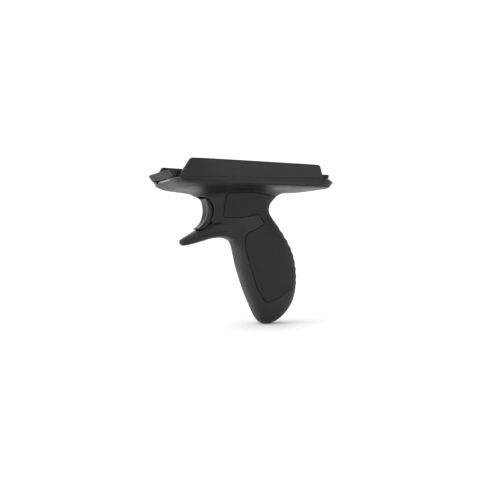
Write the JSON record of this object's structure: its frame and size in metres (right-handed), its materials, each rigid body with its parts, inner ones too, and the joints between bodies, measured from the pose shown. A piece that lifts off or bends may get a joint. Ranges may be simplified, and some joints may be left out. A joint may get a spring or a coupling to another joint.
{
  "type": "pistol grip trigger handle with device cradle",
  "caption": "Clip-on pistol grip with a trigger, finger guard and rubber pads, and an open cradle that holds a slab-shaped mobile computer.",
  "frame": {"origin": "centre of the cradle's seat face, where the device's back rests", "axes": "+Z out of the seat, -X towards the nose, +X towards the tail, -Y the user's left side, grip hanging along -Z"},
  "size_m": [0.1618, 0.084, 0.1448],
  "materials": {
    "cradle_plastic": "fine textured charcoal",
    "shell_plastic": "fine textured charcoal",
    "grip_rubber": "soft matt overmould",
    "trigger_plastic": "satin black",
    "hook_plastic": "gloss black",
    "latch_plastic": "knurled charcoal",
    "zinc_steel": "zinc plated",
    "spring_steel": "drawn wire",
    "ground_steel": "ground",
    "natural_plastic": "natural acetal",
    "board_green": "solder mask",
    "switch_black": "moulded",
    "switch_red": "moulded",
    "contact_gold": "gold plated",
    "flex_amber": "polyimide film",
    "seal_rubber": "moulded",
    "black_screw": "black oxide",
    "insert_brass": "knurled"
  },
  "bodies": {
    "handle": {"cradle": "cradle_plastic", "housing_left": "shell_plastic", "housing_right": "shell_plastic", "grip_pad_left": "grip_rubber", "grip_pad_right": "grip_rubber", "rear_hook_left": "hook_plastic", "rear_hook_right": "hook_plastic", "latch_springs": "spring_steel", "trigger_pin": "ground_steel", "switch_board": "board_green", "switch_body": "switch_black", "board_connector": "natural_plastic", "board_parts": "switch_black", "contact_block": "switch_black", "contact_board": "board_green", "contact_connector": "natural_plastic", "contact_screws": "zinc_steel", "flex_cable": "flex_amber", "rim_gasket": "seal_rubber", "cradle_screws": "black_screw", "cradle_inserts": "insert_brass", "shell_screws": "black_screw", "shell_inserts": "insert_brass", "seat_pads": "seal_rubber", "wing_pads": "seal_rubber", "pivot_bushes": "natural_plastic"},
    "trigger": {"trigger": "trigger_plastic", "trigger_spring": "spring_steel"},
    "switch_plunger": {"switch_plunger": "switch_red"},
    "contact_pins": {"contact_pins": "contact_gold"},
    "front_latch": {"front_latch": "latch_plastic", "latch_plate": "zinc_steel", "latch_screws": "zinc_steel"}
  },
  "joints": [
    {"name": "trigger_pull", "type": "hinge", "parent": "handle", "child": "trigger", "pos_m": [-0.031, 0, -0.0126], "axis": [0, -1, 0], "range_deg": [0, 7], "stiffness_Nm_per_rad": 0.6, "springref_deg": -6.88},
    {"name": "switch_press", "type": "slide", "parent": "handle", "child": "switch_plunger", "axis": [1, 0, 0], "range_m": [0, 0.0015]},
    {"name": "contact_press", "type": "slide", "parent": "handle", "child": "contact_pins", "axis": [0, 0, -1], "range_m": [0, 0.0012], "stiffness_N_per_m": 600, "springref_m": -0.0005},
    {"name": "latch_release", "type": "slide", "parent": "handle", "child": "front_latch", "axis": [-1, 0, 0], "range_m": [0, 0.0025], "stiffness_N_per_m": 900, "springref_m": -0.0015, "deforming": ["latch_springs"]}
  ],
  "couplings": [
    {"joint": "switch_press", "follows": "trigger_pull", "m_per_rad": 0.0115}
  ]
}
